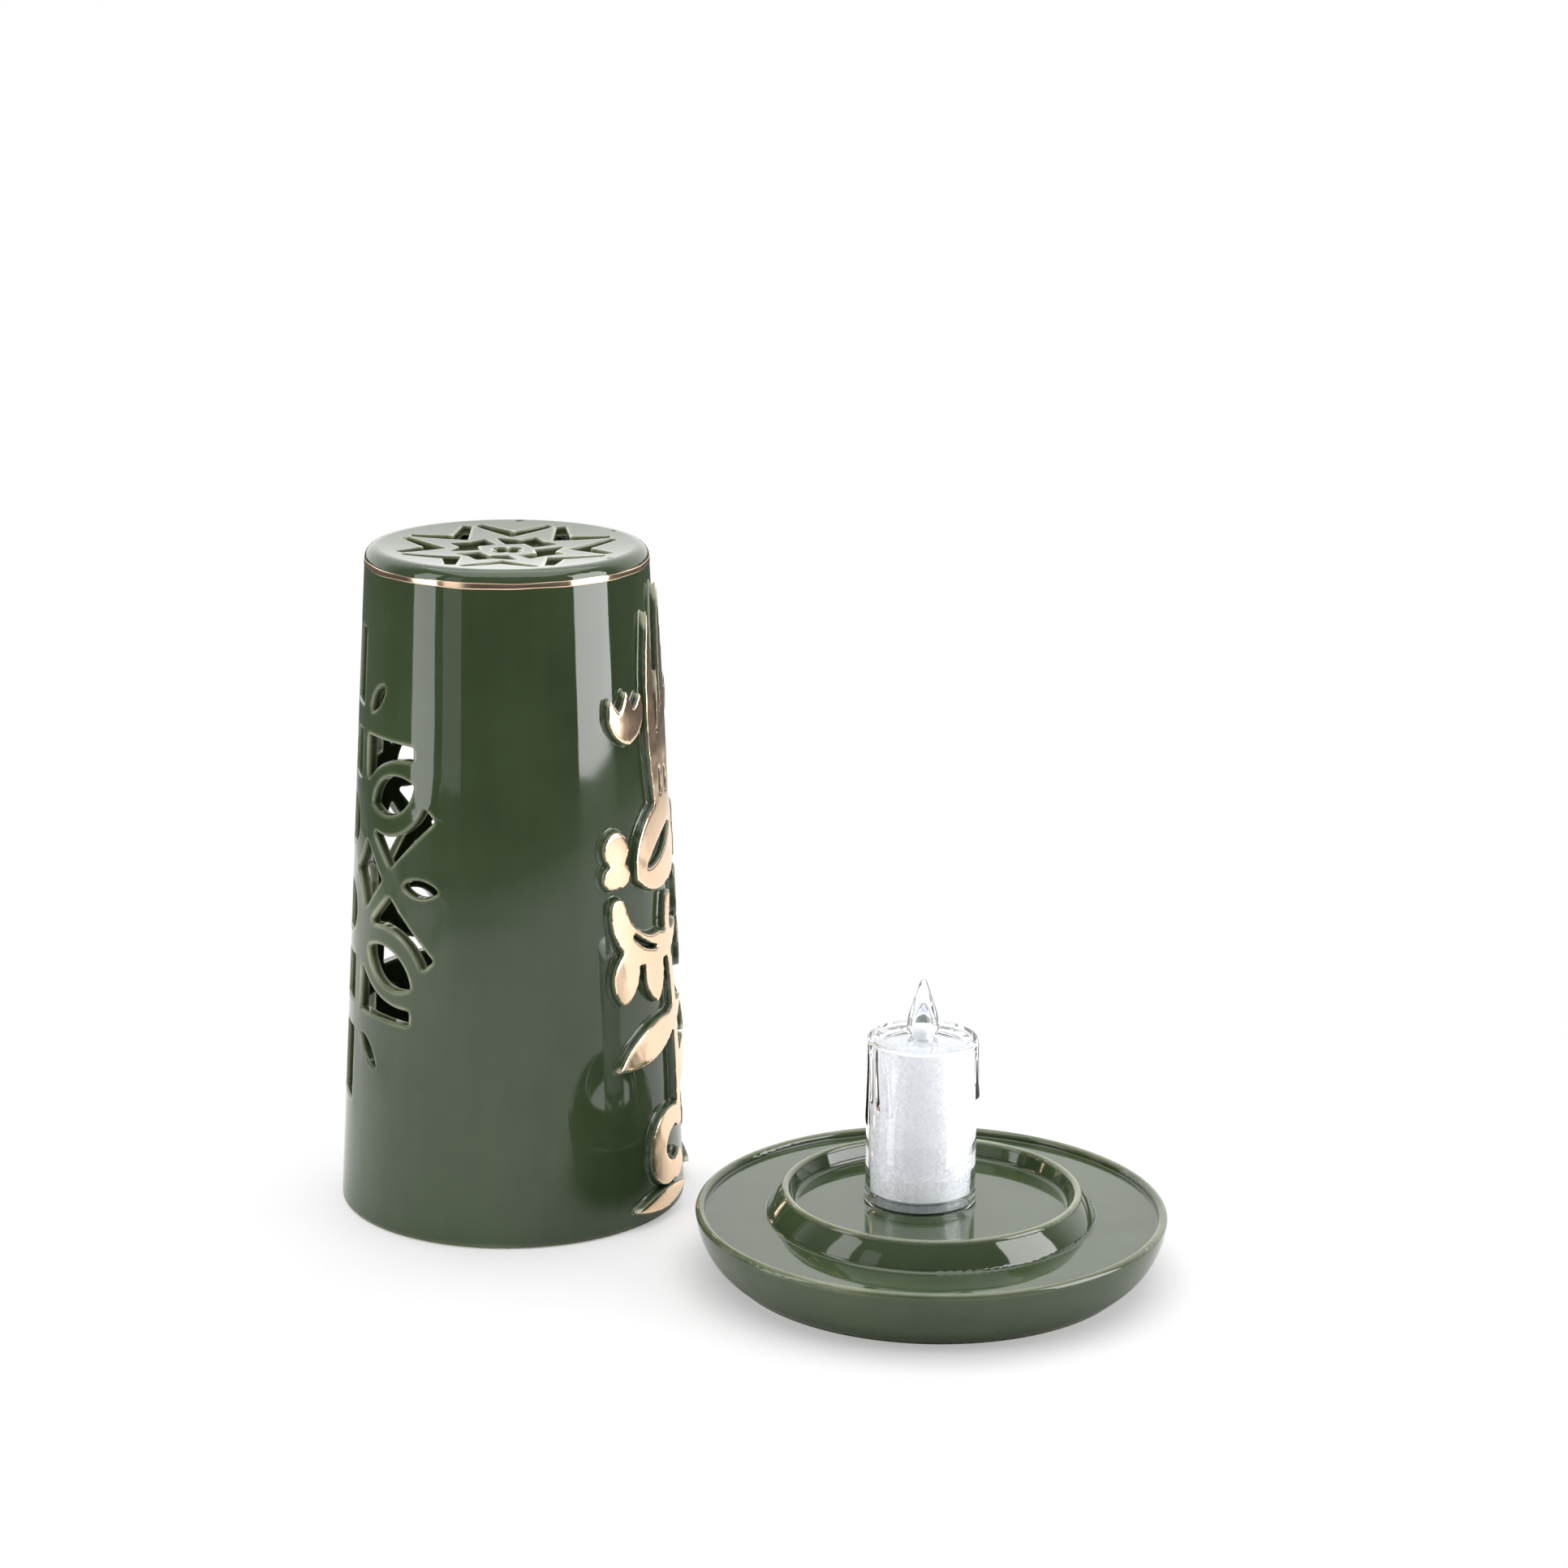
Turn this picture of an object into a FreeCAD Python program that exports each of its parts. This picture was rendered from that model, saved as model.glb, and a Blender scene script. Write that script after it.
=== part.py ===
import FreeCAD, Part
import math
import os

from FreeCAD import Vector

os.makedirs("parts", exist_ok=True)

# A two-piece glazed ceramic lantern with a battery candle. Millimetres, +Z up.
# The origin is under the middle of the whole arrangement, on the surface it stands on:
# the dish stands front right with the candle in its well, the cover beside it, back left.

# ---- dish
DISH_RIM_R = 79.0            # outer radius at the lip
DISH_RIM_H = 22.0            # height of the lip
DISH_FOOT_IN = 13.0          # how far in from the lip the bowl wall meets the table
DISH_FOOT_W = 7.0            # width of the flat foot ring
DISH_FOOT_RECESS = 3.0       # depth of the glazed hollow inside the foot ring
LIP_W = 3.2                  # width of the lip
LIP_RISE = 2.4               # lip above the channel floor
RING_TOP_Z = 28.6            # crown of the raised ring round the well
RING_BASE_R = 55.0           # outer radius of the ring where it meets the channel
RING_LEAN = 4.7              # how far the ring leans in from its base to its crown
RING_W = 2.8                 # width of the crown
WELL_Z = 22.4                # floor of the well
WELL_IN = 5.3                # from the crown's outer radius in to the well's flat floor

# ---- cover
COVER_H = 232.6              # full height
COVER_WALL = 3.5             # thickness of the wall
COVER_TOP_R = 48.0           # outer radius of the cone at full height
COVER_MOUTH_GAP = 2.0        # the mouth slips over the ring's base by this much all round
SHOULDER_ROUND = 4.2         # rounding between the cone and the top
MOUTH_ROUND = 1.4            # rounding of the cover's lower edge
TOP_SAG = 2.6                # how far the middle of the top sinks below its edge
BAND_DROP = 5.4              # from the full height down to the middle of the gold band
BAND_W = 2.0                 # width of the gold band
LUSTRE_T = 0.12              # thickness allowed for gold lustre
DRAWN_H = 232.6              # the lattice and the relief are drawn for a cover of this height,
DRAWN_TOP_R = 48.0           # the star for a top of this radius, and they grow with the cover

# ---- pierced lattice on the cover's left side
LATTICE_AZ = 180.0           # direction of its middle line
LATTICE_MID = 123.0          # height of its middle line, as drawn
LATTICE_CORNER = 0.9         # corner rounding of the pierced shapes
LATTICE_SOFT = 0.8           # how far glaze softens their outer edges

# ---- pierced star in the cover's top
STAR_ARMS = 8
STAR_INNER_R = 20.9          # inner corner of each chevron, as drawn
STAR_OUTER_R = 38.0          # ends of each chevron
STAR_HALF_DEG = 19.3         # half the angle between a chevron's ends
STAR_THICK = 7.4             # thickness of a chevron along its axis
STAR_BLUNT = 2.3             # width of a chevron's blunt end
STAR_CORNER = 0.7            # corner rounding of the star's shapes
STAR_SOFT = 0.5              # how far glaze softens their outer edges
WHIRL_ARMS = 4
FLOWER_LOBE_R = 2.5
FLOWER_LOBE_AT = 3.1

# ---- relief on the cover's right side
RELIEF_PITCH = 52.0          # the plant stands twice, side by side, this far apart in degrees
RELIEF_MARGIN = 3.0          # it starts this far above the mouth and stops as far under the band
RELIEF_T = 2.8               # height of the relief above the wall
GILD_INSET = 1.1             # green edge left round the gold

# ---- candle
CELL_R = 10.0                # coin cell, 20 mm across
CELL_T = 3.2
CELL_OFF_Y = -3.2            # the cell sits off the candle's axis to leave room for the switch
CANDLE_PAST_CELL = 8.5       # the clear body's radius is the cell's and this much more
CANDLE_H = 57.0              # top of the clear body above its foot
CANDLE_OFF_X = -3.6          # the candle stands a little off the well's middle
CANDLE_OFF_Y = 6.0
FOOT_FLANGE_W = 0.3          # the clear foot stands out this much
FOOT_FLANGE_H = 4.6
SHELL_WALL = 1.8
SHELL_TOP_T = 1.5
SHELL_ROUND = 0.8
CORE_GAP = 0.2               # between the clear shell and the white core
CORE_WALL = 1.2
CORE_FOOT_Z = 4.2            # lower end of the white core
FLAME_R = 5.45
FLAME_NECK_R = 4.2
FLAME_H = 20.4               # flame above the candle's top
FLAME_TIP_R = 0.9
LED_R = 2.5
LED_GAP = 0.5
MOVE_GAP = 0.3               # clearance kept round pieces that move
BASE_Z = 0.8                 # underside of the base plate above the foot
BASE_T = 2.2
HOUSING_TOP_Z = 10.0
BOARD_T = 1.0
BOARD_PAST_CELL = 1.5        # the board reaches past the cell to its contacts
CAP_PAST_CELL = 0.9          # the battery cap's radius is the cell's and this much more
CAP_TURN = 45.0              # its quarter-lock turn, in degrees
LUG_W = 1.1
LUG_DEG = 24.0
LEDGE_T = 0.8                # plate left under the lugs
SWITCH_TRAVEL = 3.0
SWITCH_L = 8.0
SWITCH_W = 3.6
SWITCH_T = 3.5
KNOB_W = 2.4
SCREW_R = 0.85
SCREW_HEAD_R = 1.5
SCREW_IN = 4.55              # the screws stand this far inside the candle's radius
SCREW_DEG = 27.3

# ---- where things stand
STAND_GAP = 22.3             # between the cover's foot and the dish's lip
STAND_DEG = -26.18           # direction of the dish from the cover

# ---- worked out from the values above
DISH_FOOT_R = DISH_RIM_R - DISH_FOOT_IN
CHANNEL_Z = DISH_RIM_H - LIP_RISE
RING_TOP_R = RING_BASE_R - RING_LEAN
WELL_R = RING_TOP_R - WELL_IN
COVER_MOUTH_R = RING_BASE_R + COVER_MOUTH_GAP
COVER_FOOT_R = COVER_MOUTH_R + COVER_WALL
BAND_Z = COVER_H - BAND_DROP
TALL = COVER_H / DRAWN_H
WIDE = COVER_TOP_R / DRAWN_TOP_R
STAND = COVER_FOOT_R + DISH_RIM_R + STAND_GAP
COVER_TO_DISH_X = STAND * math.cos(math.radians(STAND_DEG))
COVER_TO_DISH_Y = STAND * math.sin(math.radians(STAND_DEG))
LOW_X = -COVER_FOOT_R
HIGH_X = COVER_TO_DISH_X + DISH_RIM_R
LOW_Y = min(-COVER_FOOT_R, COVER_TO_DISH_Y - DISH_RIM_R)
HIGH_Y = max(COVER_FOOT_R, COVER_TO_DISH_Y + DISH_RIM_R)
COVER_AT = Vector(-(LOW_X + HIGH_X) / 2, -(LOW_Y + HIGH_Y) / 2, 0)
DISH_AT = COVER_AT + Vector(COVER_TO_DISH_X, COVER_TO_DISH_Y, 0)
CANDLE_AT = DISH_AT + Vector(CANDLE_OFF_X, CANDLE_OFF_Y, WELL_Z)
CANDLE_R = CELL_R + CANDLE_PAST_CELL
CORE_R = CANDLE_R - SHELL_WALL - CORE_GAP
CORE_TOP_Z = CANDLE_H - SHELL_TOP_T - 0.1
CORE_IN_R = CORE_R - CORE_WALL
PLATE_TOP_Z = BASE_Z + BASE_T
CAP_R = CELL_R + CAP_PAST_CELL
CAP_LUG_R = CAP_R + LUG_W
CAP_LOW_Z = BASE_Z + 0.1
LUG_T = BASE_T - LEDGE_T - 2 * MOVE_GAP
SWITCH_Y = CELL_OFF_Y + CAP_LUG_R + MOVE_GAP + SWITCH_W / 2 + 1.0
KNOB_X = -SWITCH_TRAVEL / 2
SCREW_X = (CANDLE_R - SCREW_IN) * math.cos(math.radians(SCREW_DEG))
SCREW_Y = (CANDLE_R - SCREW_IN) * math.sin(math.radians(SCREW_DEG))
SCREW_PLACES = ((-SCREW_X, SCREW_Y), (SCREW_X, SCREW_Y))
UP = Vector(0, 0, 1)
ORIGIN = Vector(0, 0, 0)


# ---- small drawing helpers
def outline(start, *steps):
    """A closed wire in the XZ plane: a step is a point, or (middle, end) of an arc."""
    here = Vector(start[0], 0, start[1])
    first = here
    edges = []
    for step in steps:
        if isinstance(step[0], tuple):
            middle = Vector(step[0][0], 0, step[0][1])
            end = Vector(step[1][0], 0, step[1][1])
            edges.append(Part.Arc(here, middle, end).toShape())
        else:
            end = Vector(step[0], 0, step[1])
            edges.append(Part.LineSegment(here, end).toShape())
        here = end
    if here.distanceToPoint(first) > 1e-6:
        edges.append(Part.LineSegment(here, first).toShape())
    return Part.Wire(edges)


def turned(start, *steps):
    """The solid that the outline makes when it is turned once round the Z axis."""
    return Part.Face(outline(start, *steps)).revolve(ORIGIN, UP, 360)


def dome(radius, z):
    """The middle point of a quarter circle between the rim of a dome and its crown."""
    return radius * math.cos(math.pi / 4), z + radius * math.sin(math.pi / 4)


def disc(radius, low, high, x=0.0, y=0.0):
    return Part.makeCylinder(radius, high - low, Vector(x, y, low))


def block(size_x, size_y, low, high, x=0.0, y=0.0):
    return Part.makeBox(size_x, size_y, high - low, Vector(x - size_x / 2, y - size_y / 2, low))


def wall_r(z):
    """Outer radius of the cover's cone at a height."""
    return COVER_FOOT_R + (COVER_TOP_R - COVER_FOOT_R) * z / COVER_H


def on_wall(azimuth, middle, z):
    """A point of a pierced or raised shape, on the plane square to its middle direction."""
    return wall_r(z) * math.sin(math.radians(azimuth - middle)), z


def wall_prism(start, *steps, corner=0.0, grow=0.0, depth=30.0):
    """A bar through the wall, square to it at the outline's middle.

    The outline's points are (azimuth, height); a step is a point, or (middle, end) of an arc.
    """
    points = [start]
    for step in steps:
        points.append(step[1] if isinstance(step[0], tuple) else step)
    azimuths = [point[0] for point in points]
    middle = (min(azimuths) + max(azimuths)) / 2
    flat = []
    for step in steps:
        if isinstance(step[0], tuple):
            flat.append((on_wall(step[0][0], middle, step[0][1]), on_wall(step[1][0], middle, step[1][1])))
        else:
            flat.append(on_wall(step[0], middle, step[1]))
    face = Part.Face(outline(on_wall(start[0], middle, start[1]), *flat))
    if grow != 0:
        face = face.makeOffset2D(grow)
    bar = face.extrude(Vector(0, -depth, 0))
    bar.translate(Vector(0, depth / 2 - COVER_FOOT_R + (COVER_FOOT_R - COVER_TOP_R) / 2, 0))
    if corner > 0:
        along = [e for e in bar.Edges if abs(e.tangentAt(e.FirstParameter).y) > 0.99]
        bar = bar.makeFillet(corner, along)
    bar.rotate(ORIGIN, UP, middle + 90)
    return bar


# ---- dish
def saucer():
    """Thick glazed dish: bowl wall, lip, flat channel, raised ring and well, on a foot ring."""
    foot_in = DISH_FOOT_R - DISH_FOOT_W
    lip_r = LIP_W / 2
    lip_z = DISH_RIM_H - lip_r
    lip_in = DISH_RIM_R - LIP_W
    crown_r = RING_W / 2
    crown_mid = RING_TOP_R - crown_r
    lip_foot = (lip_z - CHANNEL_Z) * 0.75
    flank_foot = (RING_BASE_R - 0.5, CHANNEL_Z + 1.2)
    flank_top = (RING_TOP_R, RING_TOP_Z - crown_r)
    flank_mid = ((flank_foot[0] + flank_top[0]) / 2 + 0.25, (flank_foot[1] + flank_top[1]) / 2)
    foot_top = (DISH_FOOT_R + 1.9, 1.2)
    bowl_mid = ((DISH_FOOT_R + DISH_RIM_R) / 2 + 1.0, lip_z * 0.32)
    return turned(
        (0, DISH_FOOT_RECESS),
        (foot_in - 1.5, DISH_FOOT_RECESS),
        (foot_in, 0),
        (DISH_FOOT_R, 0),
        ((DISH_FOOT_R + 1.1, 0.35), foot_top),
        (bowl_mid, (DISH_RIM_R, lip_z)),
        ((DISH_RIM_R - lip_r, DISH_RIM_H), (lip_in, lip_z)),
        (lip_in, CHANNEL_Z + lip_foot),
        ((lip_in - 0.3 * lip_foot, CHANNEL_Z + 0.3 * lip_foot), (lip_in - lip_foot, CHANNEL_Z)),
        (RING_BASE_R + 0.8, CHANNEL_Z),
        ((RING_BASE_R - 0.05, CHANNEL_Z + 0.35), flank_foot),
        (flank_mid, flank_top),
        ((crown_mid, RING_TOP_Z), (crown_mid - crown_r, RING_TOP_Z - crown_r)),
        (WELL_R + 1.2, WELL_Z + 1.6),
        ((WELL_R + 0.75, WELL_Z + 0.45), (WELL_R - 0.4, WELL_Z)),
        (0, WELL_Z),
    )


# ---- cover
def cover_blank():
    """The tapered shell before it is pierced: open below, its top sunk a little in the middle."""
    in_top_z = COVER_H - COVER_WALL
    in_top_r = wall_r(in_top_z) - COVER_WALL
    shell = turned(
        (0, COVER_H - TOP_SAG),
        ((COVER_TOP_R / 2, COVER_H - 0.75 * TOP_SAG), (COVER_TOP_R, COVER_H)),
        (COVER_FOOT_R, 0),
        (COVER_MOUTH_R, 0),
        (in_top_r, in_top_z),
        ((in_top_r / 2, in_top_z - 0.75 * TOP_SAG), (0, in_top_z - TOP_SAG)),
    )

    def rim(radius, z):
        return [e for e in shell.Edges
                if abs(e.BoundBox.ZMax - z) < 0.01 and abs(e.BoundBox.ZMin - z) < 0.01
                and abs(e.BoundBox.XMax - radius) < 0.01]

    shell = shell.makeFillet(SHOULDER_ROUND, rim(COVER_TOP_R, COVER_H))
    shell = shell.makeFillet(MOUTH_ROUND, rim(COVER_FOOT_R, 0))
    shell = shell.makeFillet(MOUTH_ROUND * 0.7, rim(COVER_MOUTH_R, 0))
    return shell.makeFillet(SHOULDER_ROUND * 0.7, rim(in_top_r, in_top_z))


def lattice_shapes():
    """The pierced shapes of one quarter of the lattice.

    Points are (degrees from the middle line, height above the middle); the flag says whether
    the shape stands off the middle height and so is repeated below it.
    """
    return [
        (True, (29, 56), ((36.2, 60), (39.5, 67)), ((32.3, 63), (29, 56))),
        (True, (27.5, 48), (55.5, 48), (55.5, 43), ((40, 40.5), (28, 31.5))),
        (True, (33, 25), ((43, 36), (56, 35)), ((50, 25.5), (33, 25))),
        (True, (33, 17), (45, 5), (65.5, 24), (61, 28), ((50, 17.2), (33, 17))),
        (True, (5, 57), (21, 57), (21, 83), (5, 83)),
        (True, (5, 31.5), (20.5, 31.5), (20.5, 48), (5, 48)),
        (True, (5, 7), (13, 7), ((20, 15.5), (13, 24)), (5, 24)),
        (False, (20, 0), ((26, 6.5), (29, 12.5)), (40, 0), (29, -12.5), ((26, -6.5), (20, 0))),
        (False, (52, 0), ((60, 2.9), (67.5, 0)), ((60, -2.9), (52, 0))),
    ]


def lattice_cutters():
    """Every bar that pierces the wall: each shape, mirrored about both middle lines."""
    def placed(point, side, level):
        return LATTICE_AZ + side * point[0], (LATTICE_MID + level * point[1]) * TALL

    cutters = []
    for repeated, start, *steps in lattice_shapes():
        for side in (1, -1):
            for level in ((1, -1) if repeated else (1,)):
                moved = []
                for step in steps:
                    if isinstance(step[0], tuple):
                        moved.append((placed(step[0], side, level), placed(step[1], side, level)))
                    else:
                        moved.append(placed(step, side, level))
                cutters.append(wall_prism(placed(start, side, level), *moved, corner=LATTICE_CORNER))
    return cutters


def polygon_bar(points, low, high, corner):
    """An upright bar with rounded corners."""
    corners = [Vector(x, y, low) for x, y in points]
    bar = Part.Face(Part.makePolygon(corners + corners[:1])).extrude(Vector(0, 0, high - low))
    upright = [e for e in bar.Edges if abs(e.tangentAt(e.FirstParameter).z) > 0.99]
    return bar.makeFillet(corner, upright)


def star_cutters():
    """Eight chevrons round four whirling shapes and a small flower."""
    low = COVER_H - 3 * COVER_WALL
    high = COVER_H + COVER_WALL

    def at(radius, degrees):
        turn = math.radians(degrees)
        return radius * WIDE * math.cos(turn), radius * WIDE * math.sin(turn)

    end_in = STAR_OUTER_R - STAR_BLUNT / 2
    end_out = STAR_OUTER_R + STAR_BLUNT / 4
    half_end = math.degrees(STAR_BLUNT / 2 / STAR_OUTER_R)
    chevron = [
        at(STAR_INNER_R, 0),
        at(end_in, STAR_HALF_DEG + half_end),
        at(end_out, STAR_HALF_DEG - half_end),
        at(STAR_INNER_R + STAR_THICK, 0),
        at(end_out, half_end - STAR_HALF_DEG),
        at(end_in, -half_end - STAR_HALF_DEG),
    ]
    whirl = [(-5, 19), (3.5, 16.5), (8.5, 20), (11.5, 13.5), (16.5, 9), (9, 4.5), (5.5, 10.5), (-1, 9.5)]
    whirl = [(x * WIDE, y * WIDE) for x, y in whirl]
    cutters = []
    for arm in range(STAR_ARMS):
        bar = polygon_bar(chevron, low, high, STAR_CORNER)
        bar.rotate(ORIGIN, UP, arm * 360 / STAR_ARMS)
        cutters.append(bar)
    for arm in range(WHIRL_ARMS):
        bar = polygon_bar(whirl, low, high, STAR_CORNER)
        bar.rotate(ORIGIN, UP, arm * 360 / WHIRL_ARMS)
        cutters.append(bar)
    lobes = [disc(FLOWER_LOBE_R * WIDE, low, high, *at(FLOWER_LOBE_AT, 45 + 90 * lobe))
             for lobe in range(4)]
    cutters.append(disc(FLOWER_LOBE_AT * WIDE / 2, low, high).fuse(lobes).removeSplitter())
    return cutters


def points_of(edge):
    span = edge.LastParameter - edge.FirstParameter
    return [edge.valueAt(edge.FirstParameter + span * share) for share in (0, 0.3, 0.5, 0.8, 1)]


def lattice_edges(shell):
    """The outer edges of the lattice: they lie on the cone, clear of the mouth and the band."""
    found = []
    for edge in shell.Edges:
        box = edge.BoundBox
        on_cone = all(abs(math.hypot(p.x, p.y) - wall_r(p.z)) < 1e-3 for p in points_of(edge))
        if on_cone and box.ZLength < COVER_H / 2 and MOUTH_ROUND + 1 < box.ZMin < BAND_Z - BAND_W:
            found.append(edge)
    return found


def star_edges(shell):
    """The outer edges of the star: they lie on the sunk top, inside the shoulder."""
    return [edge for edge in shell.Edges
            if edge.BoundBox.ZMin > COVER_H - TOP_SAG - 0.1
            and all(math.hypot(p.x, p.y) < (STAR_OUTER_R + 1) * WIDE for p in points_of(edge))]


def cover_shell():
    """The pierced cover, with the outer edges of every hole softened as glaze leaves them."""
    shell = cover_blank().cut(lattice_cutters() + star_cutters()).Solids[0]
    shell = shell.makeFillet(LATTICE_SOFT, lattice_edges(shell))
    return shell.makeFillet(STAR_SOFT, star_edges(shell))


def cone_layer(inner, outer, low, high):
    """A skin on the cover's cone, between two distances from its surface."""
    tall = high - low
    skin = Part.makeCone(wall_r(low) + outer, wall_r(high) + outer, tall, Vector(0, 0, low))
    return skin.cut(Part.makeCone(wall_r(low) + inner, wall_r(high) + inner, tall, Vector(0, 0, low)))


def gold_band():
    return cone_layer(0, LUSTRE_T, BAND_Z - BAND_W / 2, BAND_Z + BAND_W / 2)


# ---- relief: an upright plant of plain leaves, buds and scrolls
def relief_outlines():
    """Each ornament's outlines in the first of the two plants: (azimuth, height) points."""
    return {
        "relief_crown": [
            [(-22.5, 143), ((-26, 168), (-21.5, 214)), ((-18, 168), (-18.5, 143))],
            [(-16.5, 146), ((-17.5, 168), (-15, 193)), ((-12.5, 168), (-12.5, 146))],
            [(-10, 145), ((-12.5, 178), (-8, 222)), ((-4.5, 178), (-7, 143))],
            [(-37.5, 123), ((-33.5, 139), (-22, 147.5)), ((-8, 148.5), (-3.5, 136)), ((-4, 123.5), (-15, 118)),
             ((-27, 117.5), (-37.5, 123))],
        ],
        "relief_vine": [
            [(-18.5, 30), (-13.5, 30), ((-11.5, 60), (-14, 90)), ((-15, 104), (-12, 114.5)), (-17, 114.5),
             ((-20, 104), (-18.5, 90)), ((-16.5, 60), (-18.5, 30))],
            [(-50.5, 115), ((-43, 97), (-24, 92.5)), ((-14, 94), (-6, 103.5)), ((-14, 101.5), (-24, 103)),
             ((-36, 105.5), (-43.5, 116.5)), ((-47.5, 118.5), (-50.5, 115))],
            [(-40, 101), ((-49.5, 93), (-45, 80.5)), ((-37.5, 88), (-40, 101))],
            [(-31, 97), ((-34.5, 87), (-27, 78)), ((-22, 86), (-24, 96))],
            [(-50, 58), ((-34, 58), (-15, 66)), ((-9, 69), (-4, 75)), ((-12, 74.5), (-20, 72.5)),
             ((-38, 69), (-50, 58))],
            [(-16, 43), ((-7, 48), (-3, 60)), ((-10, 57), (-16, 50))],
            [(-14, 36.5), ((-27, 38.5), (-35.5, 26)), ((-33, 15), (-22, 12.5)), ((-14, 16), (-17, 23)),
             ((-22, 20), (-26.5, 24)), ((-23, 30), (-14, 30))],
        ],
        "relief_trefoil": [
            [(-46, 122), ((-52.5, 124.5), (-49.5, 130.5)), ((-52, 137), (-45.5, 142)),
             ((-40, 137), (-42, 130.5)), ((-40, 124.5), (-46, 122))],
        ],
        "relief_tulip": [
            [(-37.5, 170), ((-46, 175), (-46.5, 187)), (-42, 182), (-38, 189), (-34, 182), (-29.5, 187),
             ((-29.5, 175), (-37.5, 170))],
        ],
        "relief_foot_leaf": [
            [(-44, 6.5), ((-30, 11), (-10, 8.5)), ((-28, 4), (-44, 6.5))],
        ],
    }


def relief_veins():
    """The slots along the broad leaves, where the wall shows through."""
    return {
        "relief_crown": [[(-31, 126), ((-20, 128.5), (-9, 138.5)), ((-21.5, 134), (-31, 126))]],
        "relief_vine": [[(-42, 107.5), ((-34, 99.5), (-23, 97.5)), ((-34, 101.5), (-42, 107.5))]],
    }


def beside(line, shift):
    """An outline moved round the wall by some degrees, at the cover's own height."""
    def moved(point):
        return point[0] + shift, point[1] * TALL

    return [(moved(step[0]), moved(step[1])) if isinstance(step[0], tuple) else moved(step)
            for step in line]


def ornament(name, inner, outer, grow):
    """One kind of ornament as a raised layer on the wall, once in each of the two plants."""
    layer = cone_layer(inner, outer, RELIEF_MARGIN, BAND_Z - BAND_W / 2 - RELIEF_MARGIN)
    pieces = []
    for shift in (0, RELIEF_PITCH):
        bars = [wall_prism(*beside(line, shift), grow=grow) for line in relief_outlines()[name]]
        veins = [wall_prism(*beside(line, shift), grow=-grow) for line in relief_veins().get(name, [])]
        piece = layer.common(bars[0].fuse(bars[1:]) if len(bars) > 1 else bars[0])
        pieces += (piece.cut(veins) if veins else piece).removeSplitter().Solids
    return Part.makeCompound(pieces)


def ornament_gilding():
    """Gold lustre on the flat top of every ornament, inside a green edge."""
    gilt = [ornament(name, RELIEF_T, RELIEF_T + LUSTRE_T, -GILD_INSET) for name in relief_outlines()]
    return Part.makeCompound([solid for group in gilt for solid in group.Solids])


# ---- candle, drawn about its own axis with its foot at z = 0
def candle_shell():
    """Clear moulded shell: a tube on a slight foot flange, a flat top, and wax drips above."""
    tube = disc(CANDLE_R, 0, CANDLE_H)
    tube = tube.makeFillet(SHELL_ROUND, [e for e in tube.Edges if e.BoundBox.ZMin > CANDLE_H - 0.01])
    tube = tube.fuse(disc(CANDLE_R + FOOT_FLANGE_W, 0, FOOT_FLANGE_H))
    inner_r = CANDLE_R - SHELL_WALL
    drips = []
    for azimuth, low, high, radius in ((-170, 30, 52, 1.5), (-150, 38, 54, 1.3), (-125, 36, 47, 1.1),
                                       (-75, 38, 52, 1.2), (-15, 37, 52, 1.5), (60, 33, 53, 1.4),
                                       (120, 40, 54, 1.3)):
        run = disc(radius * 0.8, low, high).fuse([
            Part.makeSphere(radius, Vector(0, 0, low)),
            Part.makeSphere(radius * 0.8, Vector(0, 0, high)),
        ])
        run.translate(Vector(CANDLE_R - 0.35 * radius, 0, 0))
        run.rotate(ORIGIN, UP, azimuth)
        drips.append(run)
    neck = disc(FLAME_NECK_R + 0.1, 0, CANDLE_H + 1)
    return tube.fuse(drips).cut([disc(inner_r, -1, CANDLE_H - SHELL_TOP_T), neck])


def light_sleeve():
    """White glittered core, closed on top, with a hole for the lamp."""
    outside = disc(CORE_R, CORE_FOOT_Z, CORE_TOP_Z)
    hollow = disc(CORE_IN_R, CORE_FOOT_Z - 1, CORE_TOP_Z - CORE_WALL)
    return outside.cut([hollow, disc(FLAME_NECK_R + 0.1, 0, CANDLE_H)])


def flame_lens():
    """Hollow clear teardrop that stands in the candle's top, held by a flange under the core."""
    flange_z = CORE_TOP_Z - CORE_WALL - 0.05
    widest = CANDLE_H + 0.22 * FLAME_H
    tip = CANDLE_H + FLAME_H
    hollow_top = CANDLE_H + 0.6 * FLAME_H
    hollow_r = LED_R + LED_GAP
    return turned(
        (hollow_r, flange_z - 1.2),
        (FLAME_NECK_R + 1.3, flange_z - 1.2),
        (FLAME_NECK_R + 1.3, flange_z),
        (FLAME_NECK_R, flange_z),
        (FLAME_NECK_R, CANDLE_H + 0.2),
        ((FLAME_NECK_R * 0.35 + FLAME_R * 0.65, CANDLE_H + 0.09 * FLAME_H), (FLAME_R, widest)),
        ((FLAME_R * 0.71, (widest + tip) / 2 - 0.5), (FLAME_TIP_R, tip - FLAME_TIP_R)),
        (dome(FLAME_TIP_R, tip - FLAME_TIP_R), (0, tip)),
        (0, hollow_top),
        (dome(FLAME_TIP_R, hollow_top - FLAME_TIP_R), (FLAME_TIP_R, hollow_top - FLAME_TIP_R)),
        (hollow_r, CANDLE_H + 0.24 * FLAME_H),
    )


def led():
    """Five-millimetre lamp: flange, barrel and dome."""
    low = CORE_TOP_Z - 2
    dome_z = low + 6.0
    return turned(
        (0, low),
        (LED_R + 0.3, low),
        (LED_R + 0.3, low + 1),
        (LED_R, low + 1),
        (LED_R, dome_z),
        (dome(LED_R, dome_z), (0, dome_z + LED_R)),
    )


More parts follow.
